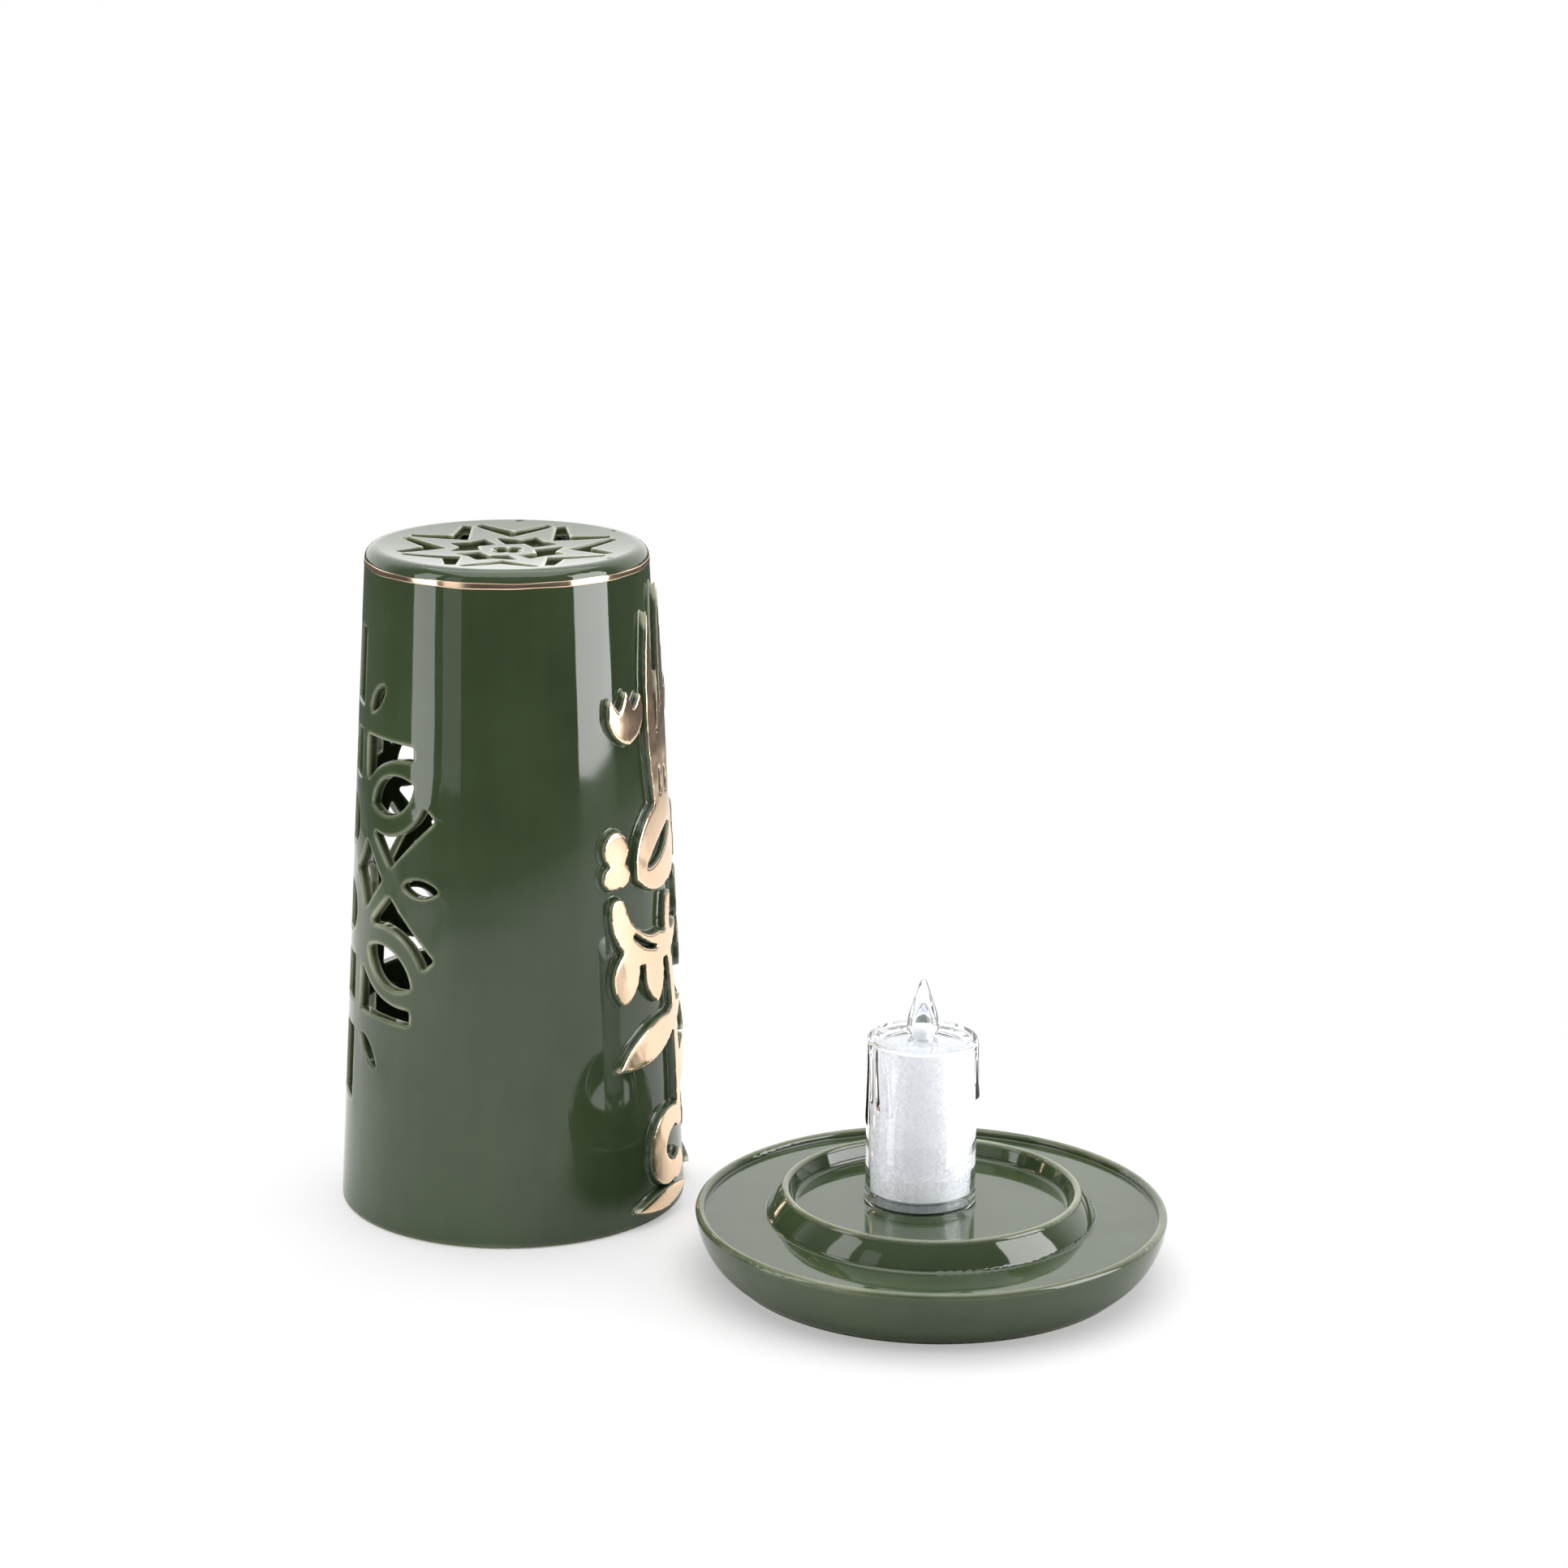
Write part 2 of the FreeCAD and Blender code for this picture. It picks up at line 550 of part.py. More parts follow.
def led_leads():
    """The lamp's two legs, down to the board."""
    legs = [block(0.5, 0.5, HOUSING_TOP_Z + BOARD_T, CORE_TOP_Z - 2, x=side * 1.27) for side in (1, -1)]
    return Part.makeCompound(legs)


def circuit_board():
    return disc(CELL_R + BOARD_PAST_CELL, HOUSING_TOP_Z, HOUSING_TOP_Z + BOARD_T)


def flicker_chip():
    return block(5, 4, HOUSING_TOP_Z + BOARD_T, HOUSING_TOP_Z + BOARD_T + 1.6, y=4.5)


def resistor():
    return block(3.2, 1.6, HOUSING_TOP_Z + BOARD_T, HOUSING_TOP_Z + BOARD_T + 0.6, y=-4.5)


def sector(inner, outer, low, high, start, sweep):
    """A piece of a ring between two directions, in degrees."""
    ring = Part.makeCylinder(outer, high - low, Vector(0, 0, low), UP, sweep)
    ring = ring.cut(disc(inner, low - 1, high + 1))
    ring.rotate(ORIGIN, UP, start)
    return ring


def at_cell(shape):
    shape.translate(Vector(0, CELL_OFF_Y, 0))
    return shape


def base_plate():
    """Round plate under the foot: cap opening with its bayonet ledge, switch slot, screw holes."""
    plate = disc(CANDLE_R - SHELL_WALL - 0.4, BASE_Z, PLATE_TOP_Z)
    opening = disc(CAP_R + MOVE_GAP, BASE_Z - 1, PLATE_TOP_Z + 1)
    groove = disc(CAP_LUG_R + MOVE_GAP, BASE_Z + LEDGE_T, PLATE_TOP_Z + 1)
    notch_deg = LUG_DEG + 8
    notches = [sector(1, CAP_LUG_R + MOVE_GAP, BASE_Z - 1, PLATE_TOP_Z, side + CAP_TURN - notch_deg / 2,
                      notch_deg) for side in (0, 180)]
    cuts = [at_cell(shape) for shape in [opening, groove] + notches]
    slot_l = SWITCH_TRAVEL + KNOB_W + 2 * MOVE_GAP
    cuts.append(block(slot_l, KNOB_W + 2 * MOVE_GAP, 0, PLATE_TOP_Z + 1, y=SWITCH_Y))
    for x, y in SCREW_PLACES:
        cuts.append(disc(SCREW_R + 0.05, 0, PLATE_TOP_Z + 1, x, y))
        cuts.append(disc(SCREW_HEAD_R + 0.1, 0, BASE_Z + 1.1, x, y))
    return plate.cut(cuts)


def cell_housing():
    """Upper half of the battery housing: cell pocket, switch pocket, and the seat of the core."""
    body = disc(CORE_IN_R - 0.1, PLATE_TOP_Z, HOUSING_TOP_Z)
    body = body.fuse(disc(CORE_R, PLATE_TOP_Z + 0.4, CORE_FOOT_Z))
    pocket = at_cell(disc(CELL_R + 0.3, PLATE_TOP_Z - 1, PLATE_TOP_Z + CELL_T + 0.7))
    switch_room = block(SWITCH_L + 0.2, SWITCH_W + 0.2, PLATE_TOP_Z - 1, PLATE_TOP_Z + SWITCH_T + 0.4, y=SWITCH_Y)
    cuts = [pocket, switch_room]
    cuts.append(block(0.5, 3.2, PLATE_TOP_Z, HOUSING_TOP_Z + 1, x=CELL_R + 0.15, y=CELL_OFF_Y))
    cuts.append(block(3.2, 0.5, PLATE_TOP_Z + CELL_T, HOUSING_TOP_Z + 1, y=CELL_OFF_Y + 4))
    for x, y in SCREW_PLACES:
        cuts.append(disc(SCREW_R - 0.1, PLATE_TOP_Z - 1, PLATE_TOP_Z + 3.6, x, y))
    return body.cut(cuts)


def coin_cell():
    """Coin cell: wide can below, narrower cap above."""
    low = PLATE_TOP_Z + 0.1
    can = at_cell(disc(CELL_R, low, low + CELL_T - 0.5))
    top = at_cell(disc(CELL_R - 1.2, low + CELL_T - 0.5, low + CELL_T))
    return can.fuse(top).removeSplitter()


def positive_contact():
    """Spring blade beside the cell, up through the housing to the board."""
    return block(0.25, 3.0, PLATE_TOP_Z + 0.6, HOUSING_TOP_Z, x=CELL_R + 0.14, y=CELL_OFF_Y)


def negative_contact():
    """Tongue over the cell, with a leg up to the board."""
    low = PLATE_TOP_Z + CELL_T + 0.15
    tongue = block(3.0, 9.0, low, low + 0.25, y=CELL_OFF_Y)
    leg = block(3.0, 0.3, low, HOUSING_TOP_Z, y=CELL_OFF_Y + 4)
    return tongue.fuse(leg).removeSplitter()


def base_screws():
    """Two pan-head screws that hold the base plate to the housing."""
    screws = []
    for x, y in SCREW_PLACES:
        head = disc(SCREW_HEAD_R, BASE_Z + 0.1, BASE_Z + 1.1, x, y)
        cross = block(1.8, 0.4, 0, BASE_Z + 0.6, x, y).fuse(block(0.4, 1.8, 0, BASE_Z + 0.6, x, y))
        shank = disc(SCREW_R - 0.1, BASE_Z + 1.1, PLATE_TOP_Z + 3.5, x, y)
        screws.append(head.fuse(shank).cut(cross).removeSplitter())
    return Part.makeCompound(screws)


def switch_housing():
    """Slide switch body, with the slot that its slider runs in."""
    low = PLATE_TOP_Z + 0.1
    body = block(SWITCH_L, SWITCH_W, low, low + SWITCH_T, y=SWITCH_Y)
    stem_room = block(SWITCH_TRAVEL + 1.2 + 2 * MOVE_GAP, 1.2 + 2 * MOVE_GAP, low - 1, low + 1.6, y=SWITCH_Y)
    return body.cut(stem_room)


def switch_knob():
    """The slider: a ribbed pad under the base and a stem up into the switch."""
    low = BASE_Z - 0.35
    pad = block(KNOB_W, KNOB_W, low, PLATE_TOP_Z - 0.2, KNOB_X, SWITCH_Y)
    grooves = [block(0.3, KNOB_W + 1, low - 1, low + 0.3, KNOB_X + shift, SWITCH_Y) for shift in (-0.7, 0, 0.7)]
    stem = block(1.2, 1.2, PLATE_TOP_Z - 0.2, PLATE_TOP_Z + 1.3, KNOB_X, SWITCH_Y)
    return pad.fuse(stem).cut(grooves).removeSplitter()


def battery_cap():
    """Twist cap under the cell: two bayonet lugs and a coin slot."""
    cap = disc(CAP_R, CAP_LOW_Z, PLATE_TOP_Z - MOVE_GAP)
    lug_z = BASE_Z + LEDGE_T + MOVE_GAP
    lugs = [sector(CAP_R - 0.5, CAP_LUG_R, lug_z, lug_z + LUG_T, side - LUG_DEG / 2, LUG_DEG)
            for side in (0, 180)]
    coin_slot = block(11, 1.8, 0, CAP_LOW_Z + 0.9)
    return at_cell(cap.fuse(lugs).cut(coin_slot).removeSplitter())


DISH_PIECES = [saucer]
COVER_PIECES = [cover_shell, gold_band, ornament_gilding]
CANDLE_PIECES = [
    candle_shell, light_sleeve, flame_lens, led, led_leads, circuit_board, flicker_chip, resistor,
    base_plate, cell_housing, coin_cell, positive_contact, negative_contact, base_screws,
    switch_housing, switch_knob, battery_cap,
]


def save(name, shape, place):
    shape.translate(place)
    shape.exportStep("parts/" + name + ".step")


for pieces, place in ((DISH_PIECES, DISH_AT), (COVER_PIECES, COVER_AT), (CANDLE_PIECES, CANDLE_AT)):
    for piece in pieces:
        save(piece.__name__, piece(), place)
for name in relief_outlines():
    save(name, ornament(name, 0, RELIEF_T, 0.0), COVER_AT)
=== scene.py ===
import math

import bmesh
import bpy
from mathutils import Matrix, Vector


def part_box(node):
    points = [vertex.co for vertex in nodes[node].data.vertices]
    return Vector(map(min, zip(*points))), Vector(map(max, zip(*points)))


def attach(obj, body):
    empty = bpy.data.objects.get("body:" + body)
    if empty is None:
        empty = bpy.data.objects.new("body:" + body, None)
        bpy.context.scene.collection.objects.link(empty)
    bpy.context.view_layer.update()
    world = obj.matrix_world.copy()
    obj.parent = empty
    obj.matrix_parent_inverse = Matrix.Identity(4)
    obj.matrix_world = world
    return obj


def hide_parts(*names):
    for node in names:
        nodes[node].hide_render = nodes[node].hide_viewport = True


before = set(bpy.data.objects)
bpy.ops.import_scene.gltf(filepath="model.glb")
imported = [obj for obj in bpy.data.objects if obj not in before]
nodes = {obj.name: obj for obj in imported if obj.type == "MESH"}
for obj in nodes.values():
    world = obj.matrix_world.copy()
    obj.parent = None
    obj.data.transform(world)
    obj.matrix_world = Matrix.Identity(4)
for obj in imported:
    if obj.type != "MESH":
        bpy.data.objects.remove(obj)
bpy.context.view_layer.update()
scene = bpy.context.scene
MM = 0.001


# ---- camera
# A long lens a little over a metre in front of the lantern and above it, looking down on the
# dish. It leans by half a degree, as a hand-levelled stand does.
CAMERA_AT = (12.85 * MM, -1205.35 * MM, 476.8 * MM)
CAMERA_DOWN = 0.2567
CAMERA_LEAN = 0.0085
CAMERA_LENS = 86.0
CAMERA_SENSOR = 36.0

lens = bpy.data.cameras.new("camera")
lens.lens = CAMERA_LENS
lens.sensor_width = CAMERA_SENSOR
camera = bpy.data.objects.new("camera", lens)
tilt = Matrix.Rotation(math.pi / 2 - CAMERA_DOWN, 4, "X") @ Matrix.Rotation(CAMERA_LEAN, 4, "Z")
camera.matrix_world = Matrix.Translation(CAMERA_AT) @ tilt
scene.collection.objects.link(camera)
scene.camera = camera
scene.view_settings.view_transform = "Standard"


# ---- table and studio
# A white table top, one softbox overhead, a tall softbox standing on the table at each side and
# a dim panel between the left one and the camera. The room behind is white, in front dark.
TABLE_R = 6.0
TABLE_WHITE = (0.86, 0.86, 0.86, 1)
TABLE_SHADE = (0.84, 0.84, 0.84, 1)
# Painted light on the table: to the camera it glows white, a painted glow that lightens its shadows near
# the lantern and turns it plain white further out; to every other ray it turns a painted dark beyond about
# 0.55 m, as if a lit pool ended there.
TABLE_UNLIT = (0.10, 0.10, 0.10, 1)
TABLE_NEAR, TABLE_FAR = 0.10, 0.36
TABLE_GLOW = 0.35
TABLE_LIT, TABLE_DIM = 0.55, 0.80
OVERHEAD_AT = (0.0, -0.05, 1.35)
OVERHEAD_SIDE, OVERHEAD_RADIANCE = 1.5, 2.3
SIDE_BOX_TALL = 0.90
SIDE_BOX_LOW = 0.005
# name, azimuth round the cover, distance, width, radiance, and whether it only makes highlights
SIDE_BOXES = (
    ("left_box", -63, 0.85, 0.30, 3.6, False), ("left_panel", -39, 1.00, 0.26, 0.9, False),
    ("right_box", 73, 1.02, 0.59, 1.8, False), ("right_glint", 73, 1.00, 0.58, 5.9, True),
)
STUDIO_FRONT, STUDIO_BACK = 0.22, 1.50


def add(tree, kind, sockets=None, **settings):
    """A new node: its settings, then its inputs, where a socket is linked and a value is set."""
    node = tree.nodes.new("ShaderNode" + kind)
    for name, value in settings.items():
        setattr(node, name, value)
    for key, value in (sockets or {}).items():
        if isinstance(value, bpy.types.NodeSocket):
            tree.links.new(value, node.inputs[key])
        else:
            node.inputs[key].default_value = value
    return node


def calc(tree, operation, first, second=0.0, clamp=False):
    """The result of a Math node on two sockets or numbers."""
    node = add(tree, "Math", {0: first, 1: second}, operation=operation, use_clamp=clamp)
    return node.outputs[0]


def fade(tree, value, low, high, at_low=0.0, at_high=1.0):
    """A smooth step: at_low where the value is under low, at_high where it is over high."""
    sockets = {"Value": value, "From Min": low, "From Max": high, "To Min": at_low, "To Max": at_high}
    return add(tree, "MapRange", sockets, interpolation_type="SMOOTHSTEP").outputs["Result"]


def blend_colour(tree, share, first, second, kind="MIX"):
    """Two colours mixed by a share."""
    node = add(tree, "Mix", {0: share, 6: first, 7: second}, data_type="RGBA", blend_type=kind)
    return node.outputs[2]


def place(tree, scale=(1, 1, 1), turn=(0, 0, 0)):
    """Object coordinates, stretched and turned."""
    coordinates = add(tree, "TexCoord").outputs["Object"]
    return add(tree, "Mapping", {"Vector": coordinates, "Scale": scale, "Rotation": turn}).outputs["Vector"]


def noise(tree, where, scale, detail=2.0, rough=0.5):
    """A cloudy noise value from 0 to 1."""
    sockets = {"Vector": where, "Scale": scale, "Detail": detail, "Roughness": rough}
    return add(tree, "TexNoise", sockets).outputs["Fac"]


def new_material(name):
    """A material with its node tree, its Principled shader and its output."""
    material = bpy.data.materials.new(name)
    material.use_nodes = True
    tree = material.node_tree
    return material, tree, tree.nodes["Principled BSDF"], tree.nodes["Material Output"]


def softbox(name, at, toward, width, height, radiance, glint_only=False):
    """A rectangular lamp that gives an even radiance and isn't seen itself."""
    lamp = bpy.data.lights.new(name, "AREA")
    lamp.shape = "RECTANGLE"
    lamp.size = width
    lamp.size_y = height
    lamp.energy = radiance * math.pi * width * height
    box = bpy.data.objects.new(name, lamp)
    aim = (Vector(toward) - Vector(at)).to_track_quat("-Z", "Y")
    box.matrix_world = Matrix.Translation(at) @ aim.to_matrix().to_4x4()
    box.visible_camera = False
    box.visible_diffuse = not glint_only
    scene.collection.objects.link(box)


def beside_cover(azimuth, distance, height):
    """A point round the cover: azimuth 0 is toward the camera, and to the right of it counts up."""
    middle = sum(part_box("cover_shell"), Vector()) / 2
    turn = math.radians(azimuth)
    return middle.x + distance * math.sin(turn), middle.y - distance * math.cos(turn), height


def table_white():
    material, tree, shader, output = new_material("table_white")
    where = add(tree, "TexCoord").outputs["Object"]
    split = add(tree, "SeparateXYZ", {0: where})
    flat = add(tree, "CombineXYZ", {"X": split.outputs["X"], "Y": split.outputs["Y"]})
    far = add(tree, "VectorMath", {0: flat.outputs[0]}, operation="LENGTH").outputs["Value"]
    seen = add(tree, "LightPath").outputs["Is Camera Ray"]
    unseen = calc(tree, "SUBTRACT", 1.0, seen)
    # painted shade: to every ray but the camera's, the table fades to TABLE_UNLIT far from the lantern
    lit = calc(tree, "MULTIPLY", unseen, fade(tree, far, TABLE_LIT, TABLE_DIM))
    paper = blend_colour(tree, noise(tree, where, 60.0), TABLE_SHADE, TABLE_WHITE)
    tree.links.new(blend_colour(tree, lit, paper, TABLE_UNLIT), shader.inputs["Base Color"])
    tree.links.new(fade(tree, noise(tree, where, 90.0), 0.3, 0.7, 0.7, 0.8), shader.inputs["Roughness"])
    shader.inputs["Specular IOR Level"].default_value = 0.1
    # painted glow: to the camera the table emits white, partly near the lantern to lighten its shadows,
    # fully further out
    share = calc(tree, "MULTIPLY", seen, fade(tree, far, TABLE_NEAR, TABLE_FAR, TABLE_GLOW, 1.0))
    glow = add(tree, "Emission", {"Color": (1, 1, 1, 1), "Strength": 1.0})
    mix = add(tree, "MixShader", {0: share, 1: shader.outputs[0], 2: glow.outputs[0]})
    tree.links.new(mix.outputs[0], output.inputs["Surface"])
    return material


def studio_air():
    world = bpy.data.worlds.new("studio")
    world.use_nodes = True
    tree = world.node_tree
    ground = tree.nodes["Background"]
    split = add(tree, "SeparateXYZ", {0: add(tree, "TexCoord").outputs["Generated"]})
    depth = fade(tree, split.outputs["Y"], 0.05, 0.60, STUDIO_FRONT, STUDIO_BACK)
    grey = add(tree, "CombineColor", {0: depth, 1: depth, 2: depth}).outputs[0]
    seen = add(tree, "LightPath").outputs["Is Camera Ray"]
    tree.links.new(blend_colour(tree, seen, grey, (1, 1, 1, 1)), ground.inputs["Color"])
    return world


scene.world = studio_air()
shape = bmesh.new()
bmesh.ops.create_circle(shape, cap_ends=True, segments=96, radius=TABLE_R)
mesh = bpy.data.meshes.new("table")
shape.to_mesh(mesh)
shape.free()
mesh.materials.append(table_white())
table = bpy.data.objects.new("table", mesh)
scene.collection.objects.link(table)

softbox("overhead", OVERHEAD_AT, (0, 0, 0), OVERHEAD_SIDE, OVERHEAD_SIDE, OVERHEAD_RADIANCE)
for name, azimuth, distance, width, radiance, glint_only in SIDE_BOXES:
    middle_z = SIDE_BOX_TALL / 2 + SIDE_BOX_LOW
    at, toward = beside_cover(azimuth, distance, middle_z), beside_cover(0, 0, middle_z)
    softbox(name, at, toward, width, SIDE_BOX_TALL, radiance, glint_only)


# ---- dish
# A thick cast stoneware saucer, glazed moss green all over and wiped clean on its foot ring.
# The glaze runs thin and olive on every edge and gathers darker in the hollows.
GLAZE_DEEP = (0.036, 0.056, 0.024, 1)
GLAZE_BODY = (0.056, 0.082, 0.037, 1)
GLAZE_THIN = (0.190, 0.215, 0.120, 1)
GLAZE_BARE = (0.66, 0.67, 0.48, 1)
BISQUE = (0.70, 0.64, 0.52, 1)
EDGE_REACH = 2.2 * MM
HOLLOW_REACH = 5.0 * MM
POOL_DARK = 0.62
STREAK_SHARE = 0.2
THIN_FROM, THIN_TO = 0.12, 0.34
BARE_FROM, BARE_TO, BARE_SHARE = 0.30, 0.46, 0.95
SPECK_SHARE = 0.35
FOOT_WIPE = 0.5 * MM
WIPE_WANDER = 0.4 * MM
GLOSS_LOW, GLOSS_HIGH = 0.035, 0.065
BISQUE_ROUGHER = 0.6
RIPPLE_SHARE = 0.045
GLAZE_WAVE = 0.08 * MM
GLAZE_INDEX = 1.52


def new_group(name, *outputs):
    """An empty node group with its output sockets, each a (name, kind) pair."""
    group = bpy.data.node_groups.new(name, "ShaderNodeTree")
    for socket_name, kind in outputs:
        group.interface.new_socket(socket_name, in_out="OUTPUT", socket_type="NodeSocket" + kind)
    return group


def give(group, **sockets):
    """Links the results to the group's outputs."""
    out = group.nodes.new("NodeGroupOutput")
    for name, socket in sockets.items():
        group.links.new(socket, out.inputs[name])


def glaze_group():
    """The glaze itself: its colour, its gloss and the slow waves in its surface."""
    group = new_group("glaze", ("Colour", "Color"), ("Roughness", "Float"), ("Height", "Float"))
    where = place(group)
    streaks = noise(group, place(group, (1, 1, 0.12)), 160.0, 3.0)
    clouds = noise(group, where, 28.0, 4.0)
    grain = noise(group, where, 900.0, 2.0)
    cloudy = calc(group, "SUBTRACT", clouds, 0.5)
    depth = calc(group, "MULTIPLY", clouds, 1 - STREAK_SHARE)
    depth = calc(group, "ADD", depth, calc(group, "MULTIPLY", streaks, STREAK_SHARE))
    colour = blend_colour(group, fade(group, depth, 0.25, 0.75), GLAZE_DEEP, GLAZE_BODY)
    reach = {"Distance": EDGE_REACH}
    inside = add(group, "AmbientOcclusion", reach, inside=True, only_local=True, samples=6)
    edge = calc(group, "SUBTRACT", 1.0, inside.outputs["AO"])
    edge = calc(group, "ADD", edge, calc(group, "MULTIPLY", cloudy, 0.25))
    outside = add(group, "AmbientOcclusion", {"Distance": HOLLOW_REACH}, only_local=True, samples=4)
    pool = fade(group, outside.outputs["AO"], 0.35, 0.95, POOL_DARK, 1.0)
    pooled = add(group, "CombineColor", {0: pool, 1: pool, 2: pool}).outputs[0]
    colour = blend_colour(group, 1.0, colour, pooled, "MULTIPLY")
    colour = blend_colour(group, fade(group, edge, THIN_FROM, THIN_TO), colour, GLAZE_THIN)
    bare_edge = fade(group, edge, BARE_FROM, BARE_TO, 0.0, BARE_SHARE)
    colour = blend_colour(group, bare_edge, colour, GLAZE_BARE)
    speck = fade(group, grain, 0.70, 0.78, 0.0, SPECK_SHARE)
    colour = blend_colour(group, speck, colour, GLAZE_DEEP)
    height = add(group, "SeparateXYZ", {0: where}).outputs["Z"]
    wiped = calc(group, "ADD", height, calc(group, "MULTIPLY", cloudy, WIPE_WANDER))
    bare = fade(group, wiped, FOOT_WIPE * 0.8, FOOT_WIPE * 1.1, 1.0, 0.0)
    colour = blend_colour(group, bare, colour, BISQUE)
    gloss = fade(group, clouds, 0.3, 0.7, GLOSS_LOW, GLOSS_HIGH)
    gloss = calc(group, "ADD", gloss, calc(group, "MULTIPLY", bare, BISQUE_ROUGHER))
    ripples = calc(group, "MULTIPLY", noise(group, where, 260.0, 2.0), RIPPLE_SHARE)
    waves = calc(group, "ADD", noise(group, where, 45.0, 1.0), ripples)
    give(group, Colour=colour, Roughness=gloss, Height=waves)
    return group


GLAZE = glaze_group()


def use_group(tree, group):
    """A node that stands for the group in a material."""
    node = tree.nodes.new("ShaderNodeGroup")
    node.node_tree = group
    return node


def green_glaze():
    material, tree, shader, _ = new_material("green_glaze")
    glaze = use_group(tree, GLAZE)
    tree.links.new(glaze.outputs["Colour"], shader.inputs["Base Color"])
    tree.links.new(glaze.outputs["Roughness"], shader.inputs["Roughness"])
    bump = add(tree, "Bump", {"Strength": 1.0, "Distance": GLAZE_WAVE, "Height": glaze.outputs["Height"]})
    tree.links.new(bump.outputs[0], shader.inputs["Normal"])
    shader.inputs["IOR"].default_value = GLAZE_INDEX
    return material


def dress(material, *names):
    """Gives carried-over nodes their finish."""
    for name in names:
        nodes[name].data.materials.clear()
        nodes[name].data.materials.append(material)


GREEN = green_glaze()
dress(GREEN, "saucer")


# ---- cover
# The tall tapered cover is slip cast in the same clay, its lattice and star cut through while
# the clay is leather hard, and glazed like the dish.
COVER_FOOT_R = 60.5 * MM
COVER_TOP_R = 48.0 * MM
COVER_TALL = 232.6 * MM

dress(GREEN, "cover_shell")


def wall_r(z):
    """Outer radius of the cover's cone at a height."""
    return COVER_FOOT_R + (COVER_TOP_R - COVER_FOOT_R) * z / COVER_TALL


low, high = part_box("gold_band")
COVER_X = (low.x + high.x) / 2
COVER_Y = (low.y + high.y) / 2


# ---- gold band
# A line of burnished gold lustre, banded by hand on a wheel below the shoulder, so that its
# edges run a little unevenly. It is fired on top of the glaze.
BAND_MID = (low.z + high.z) / 2
BAND_HALF = (high.z - low.z) / 2
BAND_THICK = 0.11 * MM
BAND_SUNK = 0.01 * MM
BAND_STEPS = 360
# depth, waves round the band, shift between its two edges and start of each wander
BAND_WANDER = ((0.10 * MM, 7, 2, 0), (0.07 * MM, 17, 3, 1))
LUSTRE = (0.95, 0.70, 0.49, 1)
LUSTRE_WORN = (0.55, 0.27, 0.15, 1)


def lustre_group():
    """Gold lustre: brush-mottled colour and gloss, and its fine ripple."""
    group = new_group("lustre", ("Colour", "Color"), ("Roughness", "Float"), ("Height", "Float"))
    brushed = noise(group, place(group, (1, 1, 0.25)), 520.0, 3.0)
    clouds = noise(group, place(group), 140.0, 3.0)
    colour = blend_colour(group, fade(group, clouds, 0.62, 0.80, 0.0, 0.5), LUSTRE, LUSTRE_WORN)
    gloss = fade(group, clouds, 0.3, 0.7, 0.08, 0.15)
    gloss = calc(group, "ADD", gloss, calc(group, "MULTIPLY", brushed, 0.05))
    give(group, Colour=colour, Roughness=gloss, Height=brushed)
    return group


LUSTRE_FINISH = lustre_group()


def gold_lustre():
    material, tree, shader, _ = new_material("gold_lustre")
    finish = use_group(tree, LUSTRE_FINISH)
    tree.links.new(finish.outputs["Colour"], shader.inputs["Base Color"])
    tree.links.new(finish.outputs["Roughness"], shader.inputs["Roughness"])
    bump = add(tree, "Bump", {"Strength": 0.3, "Distance": 0.02 * MM, "Height": finish.outputs["Height"]})
    tree.links.new(bump.outputs[0], shader.inputs["Normal"])
    shader.inputs["Metallic"].default_value = 1.0
    return material


def finished(name, shape, material, smooth=True):
    """A bmesh turned into a piece at the origin, with its material."""
    piece_mesh = bpy.data.meshes.new(name)
    shape.to_mesh(piece_mesh)
    shape.free()
    for polygon in piece_mesh.polygons:
        polygon.use_smooth = smooth
    piece_mesh.materials.append(material)
    piece = bpy.data.objects.new(name, piece_mesh)
    scene.collection.objects.link(piece)
    return piece


def spun(profile, steps, x, y, closed=False):
    """A bmesh of an (r, z) outline turned once round an upright axis."""
    shape = bmesh.new()
    points = [shape.verts.new((r, 0, z)) for r, z in profile]
    pairs = list(zip(points, points[1:]))
    if closed:
        pairs.append((points[-1], points[0]))
    edges = [shape.edges.new(pair) for pair in pairs]
    bmesh.ops.spin(shape, geom=points + edges, cent=(0, 0, 0), axis=(0, 0, 1), steps=steps,
                   angle=math.tau, use_merge=True)
    bmesh.ops.remove_doubles(shape, verts=shape.verts, dist=1e-6)
    bmesh.ops.recalc_face_normals(shape, faces=shape.faces)
    bmesh.ops.translate(shape, verts=shape.verts, vec=(x, y, 0))
    return shape


def gold_band():
    """A thin flat line on the cone whose two edges wander by a tenth of a millimetre."""
    section = ((1, 0), (0.97, 0.55), (0.88, 0.9), (0.5, 1), (-0.5, 1), (-0.88, 0.9), (-0.97, 0.55), (-1, 0))
    profile = [(COVER_TOP_R + rise * BAND_THICK, across) for across, rise in section]
    band = spun(profile, BAND_STEPS, 0, 0, closed=True)
    for vert in band.verts:
        turn = math.atan2(vert.co.y, vert.co.x)
        rise = vert.co.xy.length - COVER_TOP_R
        across = vert.co.z
        wander = sum(far * math.sin(waves * turn + shift * across + start)
                     for far, waves, shift, start in BAND_WANDER)
        z = BAND_MID + BAND_HALF * across + wander * abs(across)
        r = wall_r(z) + rise - BAND_SUNK
        vert.co = (COVER_X + r * math.cos(turn), COVER_Y + r * math.sin(turn), z)
    return band


GOLD = gold_lustre()
piece = finished("gold_banding", gold_band(), GOLD)
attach(piece, "cover")
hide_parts("gold_band")


